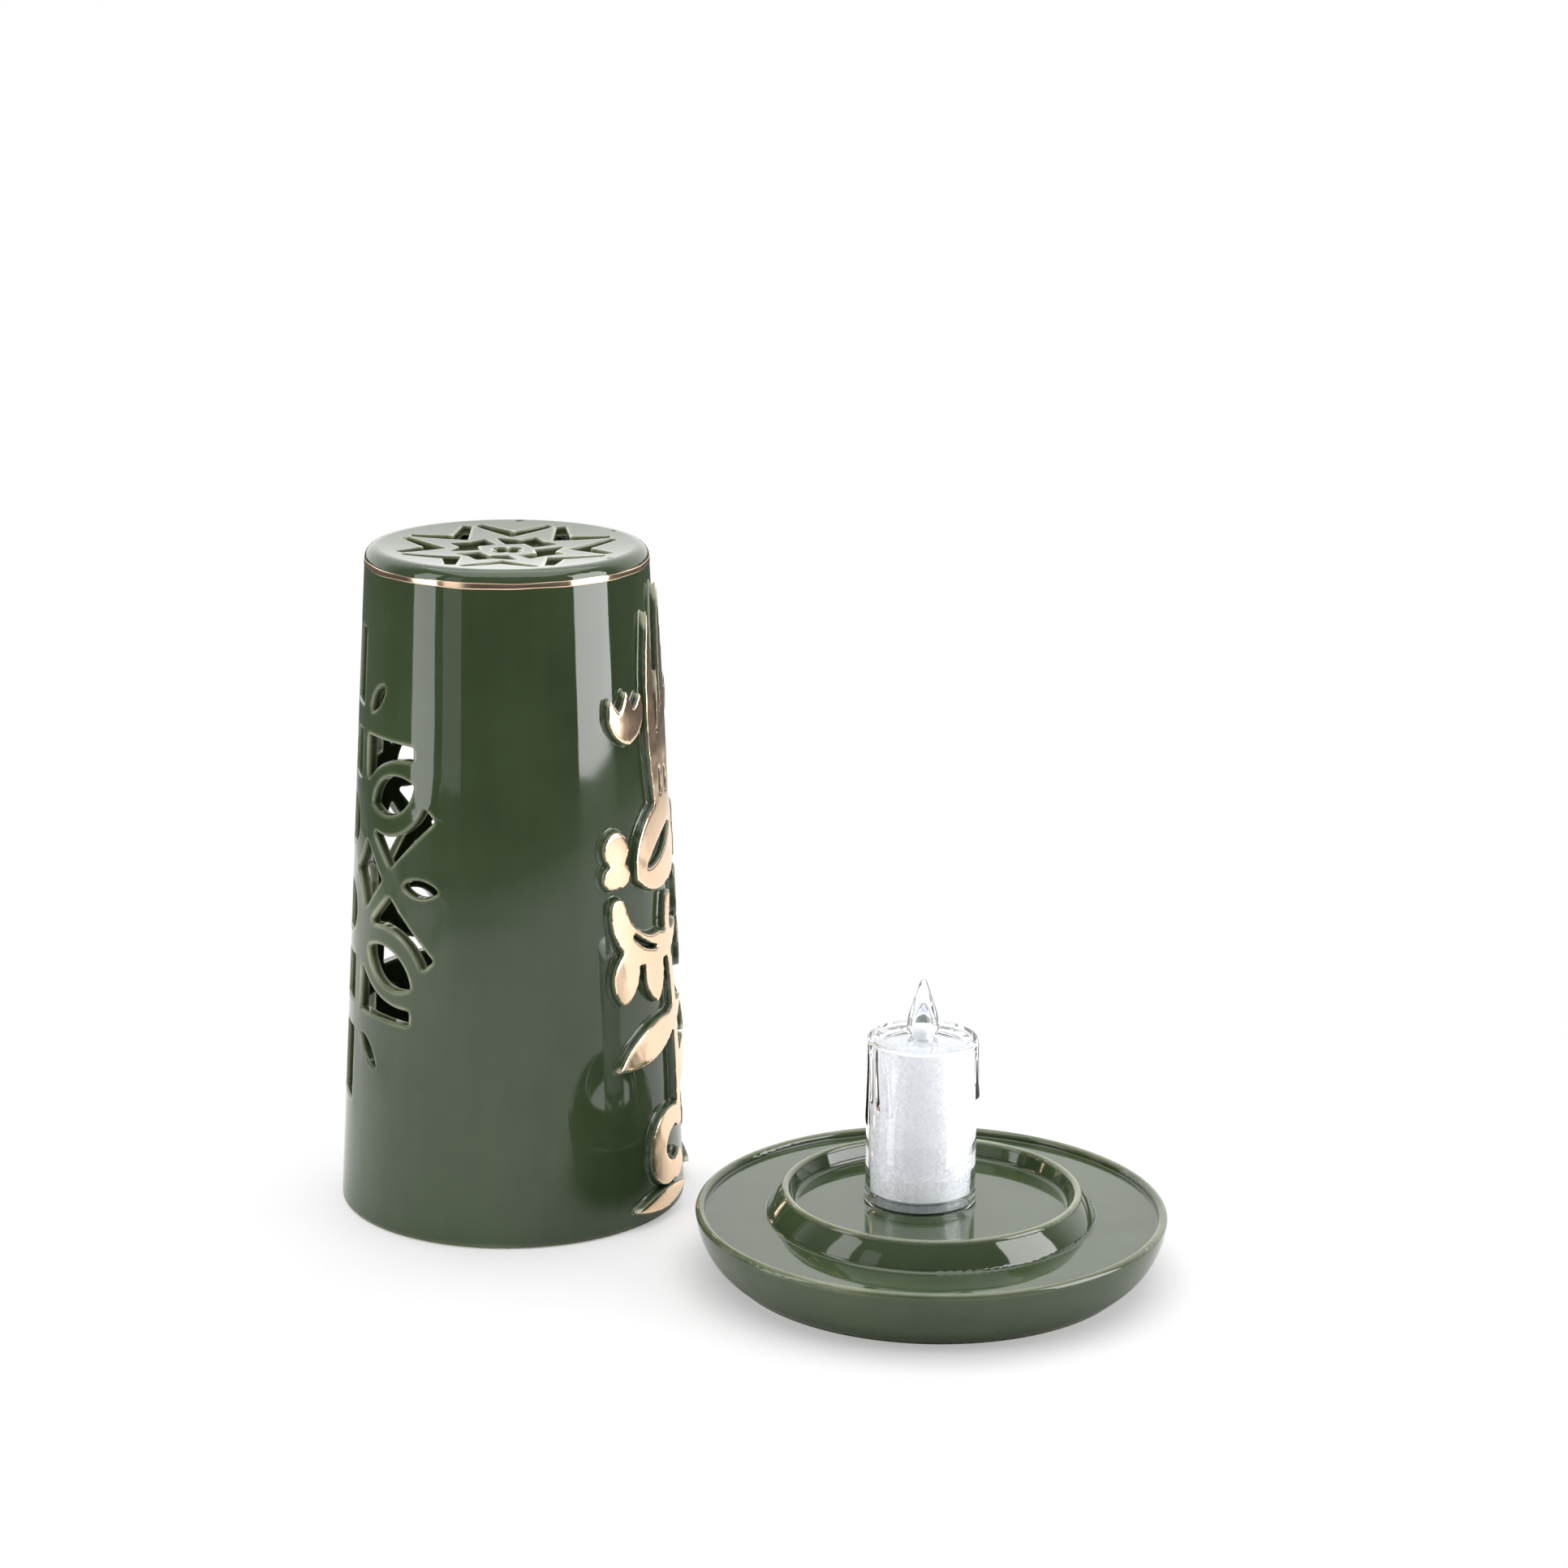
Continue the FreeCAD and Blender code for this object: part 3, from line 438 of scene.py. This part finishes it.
# ---- relief
# Leaves, blades and scrolls cast as part of the cover and softened by the glaze. Their flat tops
# are gilded by brush; the rounded flanks stay green, with a red-brown line where the gold thins.
RELIEF_RISE = 2.8 * MM
RELIEF_ROOT = 2.0 * MM
RELIEF_VOXEL = 0.46 * MM
RELIEF_SMOOTHING = 20
SKIRT_OUT = 2.0 * MM
SKIRT_UNDER = 0.1 * MM
SKIRT_COPIES = 8
GILD_LIFT = 1.0 * MM
GILD_FACING = 0.84
GILD_EDGE = (0.20, 0.075, 0.035, 1)


def gilded_relief():
    material, tree, shader, _ = new_material("gilded_relief")
    glaze = use_group(tree, GLAZE)
    finish = use_group(tree, LUSTRE_FINISH)
    where = add(tree, "TexCoord").outputs["Object"]
    split = add(tree, "SeparateXYZ", {0: where})
    east = calc(tree, "SUBTRACT", split.outputs["X"], COVER_X)
    north = calc(tree, "SUBTRACT", split.outputs["Y"], COVER_Y)
    flat = add(tree, "CombineXYZ", {"X": east, "Y": north})
    radius = add(tree, "VectorMath", {0: flat.outputs[0]}, operation="LENGTH").outputs["Value"]
    slope = (COVER_TOP_R - COVER_FOOT_R) / COVER_TALL
    wall = calc(tree, "ADD", calc(tree, "MULTIPLY", split.outputs["Z"], slope), COVER_FOOT_R)
    lift = calc(tree, "SUBTRACT", radius, wall)
    outward = add(tree, "VectorMath", {0: flat.outputs[0]}, operation="NORMALIZE")
    normal = add(tree, "NewGeometry").outputs["Normal"]
    both = {0: normal, 1: outward.outputs[0]}
    facing = add(tree, "VectorMath", both, operation="DOT_PRODUCT").outputs["Value"]
    brush = calc(tree, "MULTIPLY", calc(tree, "SUBTRACT", noise(tree, where, 420.0, 2.0), 0.5), 0.10)
    facing = calc(tree, "ADD", facing, brush)
    raised = fade(tree, lift, GILD_LIFT, GILD_LIFT + 0.1 * MM)
    gilt = calc(tree, "MULTIPLY", raised, fade(tree, facing, GILD_FACING, GILD_FACING + 0.02))
    line = fade(tree, facing, GILD_FACING + 0.02, GILD_FACING + 0.09)
    gold = blend_colour(tree, line, GILD_EDGE, finish.outputs["Colour"])
    tree.links.new(blend_colour(tree, gilt, glaze.outputs["Colour"], gold), shader.inputs["Base Color"])
    tree.links.new(gilt, shader.inputs["Metallic"])
    rough = add(tree, "Mix", {0: gilt, 2: glaze.outputs["Roughness"], 3: finish.outputs["Roughness"]},
                data_type="FLOAT").outputs[0]
    tree.links.new(rough, shader.inputs["Roughness"])
    bump = add(tree, "Bump", {"Strength": 1.0, "Distance": GLAZE_WAVE, "Height": glaze.outputs["Height"]})
    tree.links.new(bump.outputs[0], shader.inputs["Normal"])
    shader.inputs["IOR"].default_value = GLAZE_INDEX
    return material


def moved_round(vert, round_by, up_by, top_at=None):
    """Shifts a point along the cover's wall. Points near the wall go down to the root."""
    out = Vector((vert.co.x - COVER_X, vert.co.y - COVER_Y))
    lift = out.length - wall_r(vert.co.z)
    z = vert.co.z + up_by
    turn = math.atan2(out.y, out.x) + round_by / out.length
    if lift < RELIEF_RISE / 4:
        lift = -RELIEF_ROOT
    elif top_at is not None:
        lift = top_at
    r = wall_r(z) + lift
    vert.co = (COVER_X + r * math.cos(turn), COVER_Y + r * math.sin(turn), z)


def softened_relief(name, material):
    """The node's solids, rooted in the wall and widened under its face, then rounded by glaze."""
    shape = bmesh.new()
    shape.from_mesh(nodes[name].data)
    bmesh.ops.remove_doubles(shape, verts=shape.verts, dist=1e-6)
    solids = list(shape.verts) + list(shape.edges) + list(shape.faces)
    for copy in range(SKIRT_COPIES):
        turn = math.tau * copy / SKIRT_COPIES
        skirt = bmesh.ops.duplicate(shape, geom=solids)["geom"]
        for vert in (item for item in skirt if isinstance(item, bmesh.types.BMVert)):
            moved_round(vert, SKIRT_OUT * math.cos(turn), SKIRT_OUT * math.sin(turn), -SKIRT_UNDER)
    for vert in (item for item in solids if isinstance(item, bmesh.types.BMVert)):
        moved_round(vert, 0, 0)
    piece = finished(name + "_softened", shape, material)
    remesh = piece.modifiers.new("remesh", "REMESH")
    remesh.mode = "VOXEL"
    remesh.voxel_size = RELIEF_VOXEL
    remesh.use_smooth_shade = True
    soften = piece.modifiers.new("soften", "SMOOTH")
    soften.iterations = RELIEF_SMOOTHING
    view = bpy.context.evaluated_depsgraph_get()
    finished_mesh = bpy.data.meshes.new_from_object(piece.evaluated_get(view))
    piece.modifiers.clear()
    piece.data = finished_mesh
    return piece


GILDED = gilded_relief()
for name in ("relief_crown", "relief_vine", "relief_trefoil", "relief_tulip", "relief_foot_leaf"):
    piece = softened_relief(name, GILDED)
    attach(piece, "cover")
    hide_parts(name)
    if name == "relief_crown":
        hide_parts("ornament_gilding")


# ---- candle's clear shell
# Injection-moulded clear acrylic: a straight tube with a flat top, and wax runs moulded on its
# upper half that melt into the wall. Its foot stands out a little, and lamplight passes it.
low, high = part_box("light_sleeve")
CANDLE_X = (low.x + high.x) / 2
CANDLE_Y = (low.y + high.y) / 2
CANDLE_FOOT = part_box("candle_shell")[0].z
SHELL_R = 18.5 * MM
SHELL_H = 57.0 * MM
SHELL_IN_R = 16.7 * MM
SHELL_TOP = 1.5 * MM
FLANGE_W = 0.3 * MM
FLANGE_H = 4.6 * MM
NECK_R = 4.3 * MM
SHOULDER_ROUND = 0.8 * MM
SHOULDER_STEPS = 6
FOOT_BEVEL = 0.2 * MM
CEILING_BEVEL = 0.6 * MM
SHELL_ROWS = 110
SHELL_STEPS = 288
RUN_MOST = 1.3 * MM
ACRYLIC = (0.975, 0.985, 1.0, 1)
ACRYLIC_DEEP = (0.94, 0.96, 0.99, 1)
ACRYLIC_INDEX = 1.49
# azimuth, top, foot, width and swell of each wax run
WAX_RUNS = (
    (-168, 54.5, 27.0, 1.5, 0.75), (-158, 55.0, 36.0, 1.1, 0.70), (-146, 53.5, 33.5, 1.3, 0.85),
    (-133, 48.0, 33.5, 0.9, 0.75), (-118, 45.0, 36.5, 0.8, 0.45), (-62, 46.0, 38.5, 0.9, 0.30),
    (-14, 50.0, 36.5, 1.5, 1.25), (-4, 54.0, 42.0, 1.2, 0.70), (52, 54.0, 31.0, 1.4, 0.90),
    (66, 55.0, 38.0, 1.1, 0.75), (118, 54.5, 38.5, 1.3, 0.85), (150, 53.0, 33.0, 1.2, 0.80),
)


def clear_acrylic(name, bump_scale, bump_height, index=ACRYLIC_INDEX):
    """Clear plastic that lets lamplight through to what it covers."""
    material, tree, shader, output = new_material(name)
    where = place(tree)
    tint = blend_colour(tree, noise(tree, where, 70.0), ACRYLIC, ACRYLIC_DEEP)
    tree.links.new(tint, shader.inputs["Base Color"])
    tree.links.new(fade(tree, noise(tree, where, 300.0), 0.45, 0.75, 0.0, 0.04), shader.inputs["Roughness"])
    height = noise(tree, where, bump_scale, 1.0)
    bump = add(tree, "Bump", {"Strength": 1.0, "Distance": bump_height, "Height": height})
    tree.links.new(bump.outputs[0], shader.inputs["Normal"])
    shader.inputs["Transmission Weight"].default_value = 1.0
    shader.inputs["IOR"].default_value = index
    clear = add(tree, "BsdfTransparent")
    lamp = add(tree, "LightPath").outputs["Is Shadow Ray"]
    mix = add(tree, "MixShader", {0: lamp, 1: shader.outputs[0], 2: clear.outputs[0]})
    tree.links.new(mix.outputs[0], output.inputs["Surface"])
    return material


def wax_swell(azimuth, height):
    """How far the wax runs stand out of the wall at a point, in metres: round ends, fat at the foot."""
    swell = 0.0
    for middle, top, foot, width, rise in WAX_RUNS:
        along = (top * MM - height) / ((top - foot) * MM)
        if -0.2 < along < 1.2:
            bend = 2.0 * math.sin(3.0 * along + middle)
            off = (azimuth - middle - bend + 180) % 360 - 180
            across = math.radians(off) * SHELL_R / (width * MM * (0.75 + 0.45 * along * along))
            head = 1 - max(0.0, -along / 0.2) ** 2
            tail = max(0.0, (along - 0.88) / 0.12)
            shape = max(0.0, head) * max(0.0, 1 - tail * tail) ** 0.5 if tail <= 1 else 0.0
            swell += rise * MM * (0.45 + 0.55 * along ** 2) * math.exp(-across * across) * shape
    return min(swell, RUN_MOST)


def acrylic_shell():
    """The shell's wall, rounded shoulder, flat top and neck hole, with the wax runs pushed out."""
    base = CANDLE_FOOT
    edge = SHELL_R + FLANGE_W
    profile = [(SHELL_IN_R, base), (edge - FOOT_BEVEL, base), (edge, base + FOOT_BEVEL),
               (edge, base + FLANGE_H - FOOT_BEVEL), (edge - 0.6 * FOOT_BEVEL, base + FLANGE_H),
               (SHELL_R, base + FLANGE_H)]
    rise = SHELL_H - SHOULDER_ROUND - FLANGE_H
    profile += [(SHELL_R, base + FLANGE_H + rise * row / SHELL_ROWS) for row in range(1, SHELL_ROWS + 1)]
    top = base + SHELL_H
    ceiling = top - SHELL_TOP
    for step in range(1, SHOULDER_STEPS + 1):
        turn = math.pi / 2 * step / SHOULDER_STEPS
        profile.append((SHELL_R - SHOULDER_ROUND * (1 - math.cos(turn)),
                        top - SHOULDER_ROUND * (1 - math.sin(turn))))
    profile += [(NECK_R, top), (NECK_R, ceiling), (SHELL_IN_R - CEILING_BEVEL, ceiling),
                (SHELL_IN_R, ceiling - CEILING_BEVEL)]
    shell = spun(profile, SHELL_STEPS, 0, 0, closed=True)
    for vert in shell.verts:
        if vert.co.xy.length > (SHELL_R + SHELL_IN_R) / 2:
            out = Vector((vert.co.x, vert.co.y, 0)).normalized()
            azimuth = math.degrees(math.atan2(out.y, out.x))
            vert.co += out * wax_swell(azimuth, vert.co.z - base)
    bmesh.ops.translate(shell, verts=shell.verts, vec=(CANDLE_X, CANDLE_Y, 0))
    return shell


piece = finished("acrylic_shell", acrylic_shell(), clear_acrylic("shell_acrylic", 90.0, 0.02 * MM))
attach(piece, "candle")
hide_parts("candle_shell")
sharp = piece.modifiers.new("sharp", "EDGE_SPLIT")
sharp.split_angle = math.radians(50)


# ---- flame
# A hollow teardrop lens of clear acrylic, moulded with long flats, standing over the lamp.
low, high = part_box("flame_lens")
FLAME_TOP = high.z
FLAME_FACETS = 10
FLAME_R = 5.4 * MM
FLAME_FOOT_R = 4.1 * MM
HOLLOW_R = 3.0 * MM
HOLLOW_STEPS = 40
FACET_BEVEL = 0.22 * MM
FLAME_INDEX = 1.30
FLAME_SEAT = CANDLE_FOOT + SHELL_H
FLAME_TALL = FLAME_TOP - FLAME_SEAT
# radius and share of the height of each turn of the outside and of the hollow
FLAME_OUTSIDE = ((5.3 * MM, 0.08), (FLAME_R, 0.21), (5.05 * MM, 0.34), (4.0 * MM, 0.52),
                 (2.35 * MM, 0.76), (0.95 * MM, 0.95), (0.45 * MM, 0.985), (0, 1.0))
FLAME_HOLLOW = ((HOLLOW_R, 0.24), (2.4 * MM, 0.38), (1.3 * MM, 0.52), (0.6 * MM, 0.585), (0, 0.6))


def flame_drop():
    """A faceted outside and a round hollow, joined at the open foot."""
    outer = [(FLAME_FOOT_R, low.z), (FLAME_FOOT_R, FLAME_SEAT + 0.3 * MM)]
    outer += [(r, FLAME_SEAT + share * FLAME_TALL) for r, share in FLAME_OUTSIDE]
    inner = [(HOLLOW_R, low.z)]
    inner += [(r, FLAME_SEAT + share * FLAME_TALL) for r, share in FLAME_HOLLOW]
    drop = bmesh.new()
    for profile, steps in ((outer, FLAME_FACETS), (inner, HOLLOW_STEPS)):
        points = [drop.verts.new((r, 0, z)) for r, z in profile]
        edges = [drop.edges.new(pair) for pair in zip(points, points[1:])]
        bmesh.ops.spin(drop, geom=points + edges, cent=(0, 0, 0), axis=(0, 0, 1), steps=steps,
                       angle=math.tau, use_merge=True)
    bmesh.ops.remove_doubles(drop, verts=drop.verts, dist=1e-6)
    rims = [edge for edge in drop.edges if len(edge.link_faces) == 1]
    bmesh.ops.bridge_loops(drop, edges=rims)
    bmesh.ops.recalc_face_normals(drop, faces=drop.faces)
    for face in drop.faces:
        face.smooth = max(vert.co.xy.length for vert in face.verts) < HOLLOW_R + 0.1 * MM
    facets = [edge for edge in drop.edges
              if not any(face.smooth for face in edge.link_faces)
              and abs(edge.verts[0].co.z - edge.verts[1].co.z) > 1 * MM]
    bmesh.ops.bevel(drop, geom=facets, offset=FACET_BEVEL, segments=2, profile=0.5, affect="EDGES",
                    material=-1)
    bmesh.ops.translate(drop, verts=drop.verts, vec=(CANDLE_X, CANDLE_Y, 0))
    return drop


piece = finished("flame_drop", flame_drop(), clear_acrylic("flame_acrylic", 200.0, 0.02 * MM, FLAME_INDEX))
sharp = piece.modifiers.new("sharp", "EDGE_SPLIT")
sharp.split_angle = math.radians(16)
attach(piece, "candle")
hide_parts("flame_lens")


# ---- glittered core
# A white plastic sleeve dusted with fine clear glitter, which glows when the lamp is lit.
CORE_WHITE = (0.90, 0.90, 0.905, 1)
CORE_SHADE = (0.81, 0.815, 0.83, 1)
# Painted shade: the core's upward faces are coloured far darker, so that the overhead softbox doesn't burn
# its top white.
CORE_TOP_PAINTED_SHADE = (0.42, 0.43, 0.44, 1)
GLITTER_SCALE = 1500.0


def glitter_white():
    material, tree, shader, _ = new_material("glitter_white")
    where = place(tree)
    flakes = add(tree, "TexVoronoi", {"Vector": where, "Scale": GLITTER_SCALE})
    tone = add(tree, "SeparateColor", {0: flakes.outputs["Color"]}).outputs[0]
    colour = blend_colour(tree, fade(tree, tone, 0.55, 0.95, 0.0, 0.8), CORE_WHITE, CORE_SHADE)
    soft = noise(tree, where, 60.0, 3.0)
    colour = blend_colour(tree, fade(tree, soft, 0.45, 0.75, 0.0, 0.5), colour, CORE_SHADE)
    up = add(tree, "NewGeometry").outputs["Normal"]
    upward = add(tree, "SeparateXYZ", {0: up}).outputs["Z"]
    # painted shade on the faces that look up
    colour = blend_colour(tree, fade(tree, upward, 0.4, 0.8), colour, CORE_TOP_PAINTED_SHADE)
    tree.links.new(colour, shader.inputs["Base Color"])
    tree.links.new(fade(tree, tone, 0.2, 0.9, 0.45, 0.15), shader.inputs["Roughness"])
    spread = add(tree, "VectorMath", {0: flakes.outputs["Color"], 1: (0.5, 0.5, 0.5)}, operation="SUBTRACT")
    lean = add(tree, "VectorMath", {0: spread.outputs[0], "Scale": 0.35}, operation="SCALE")
    facing = add(tree, "VectorMath", {0: up, 1: lean.outputs[0]}, operation="ADD")
    normal = add(tree, "VectorMath", {0: facing.outputs[0]}, operation="NORMALIZE")
    tree.links.new(normal.outputs[0], shader.inputs["Normal"])
    return material


dress(glitter_white(), "light_sleeve")


# ---- lamp and works
# A five-millimetre lamp on its two legs, the flicker board with its chip and resistor, and the
# coin cell with its contacts in a cloudy grey housing, closed by a white cap.
def moulded(name, colour, shade, grain=700.0, rough=(0.3, 0.45), depth=0.02 * MM):
    """Injection-moulded plastic or board: even colour, fine spark-eroded grain, faint flow marks."""
    material, tree, shader, _ = new_material(name)
    where = place(tree)
    flow = noise(tree, place(tree, (1, 1, 0.3)), 55.0, 3.0)
    fine = noise(tree, where, grain, 2.0)
    tree.links.new(blend_colour(tree, flow, colour, shade), shader.inputs["Base Color"])
    tree.links.new(fade(tree, fine, 0.3, 0.7, *rough), shader.inputs["Roughness"])
    bump = add(tree, "Bump", {"Strength": 0.6, "Distance": depth, "Height": fine})
    tree.links.new(bump.outputs[0], shader.inputs["Normal"])
    return material


def rolled(name, colour, shade, stretch):
    """Plated or rolled sheet metal with its drawing lines and dull patches."""
    material, tree, shader, _ = new_material(name)
    lines = noise(tree, place(tree, stretch), 600.0, 4.0)
    dull = noise(tree, place(tree), 120.0, 3.0)
    tone = blend_colour(tree, fade(tree, dull, 0.4, 0.75), colour, shade)
    tree.links.new(tone, shader.inputs["Base Color"])
    tree.links.new(fade(tree, lines, 0.3, 0.7, 0.16, 0.34), shader.inputs["Roughness"])
    bump = add(tree, "Bump", {"Strength": 0.4, "Distance": 0.01 * MM, "Height": lines})
    tree.links.new(bump.outputs[0], shader.inputs["Normal"])
    shader.inputs["Metallic"].default_value = 1.0
    return material


dress(moulded("led_epoxy", (0.86, 0.87, 0.88, 1), (0.78, 0.79, 0.81, 1), 900.0, (0.1, 0.2)), "led")
dress(rolled("tinned_steel", (0.72, 0.73, 0.74, 1), (0.52, 0.53, 0.55, 1), (1, 1, 0.05)),
      "led_leads", "positive_contact", "negative_contact")
dress(moulded("board_green", (0.02, 0.12, 0.05, 1), (0.03, 0.17, 0.07, 1), 1200.0), "circuit_board")
dress(moulded("black_plastic", (0.015, 0.015, 0.016, 1), (0.03, 0.03, 0.032, 1)),
      "flicker_chip", "resistor", "switch_housing")
dress(moulded("smoke_plastic", (0.28, 0.295, 0.295, 1), (0.36, 0.375, 0.37, 1), 500.0, (0.2, 0.35)),
      "base_plate", "cell_housing")
dress(rolled("nickel_steel", (0.70, 0.68, 0.64, 1), (0.50, 0.48, 0.45, 1), (0.05, 1, 1)),
      "coin_cell", "base_screws")
dress(moulded("white_plastic", (0.80, 0.80, 0.78, 1), (0.72, 0.72, 0.70, 1)), "switch_knob", "battery_cap")
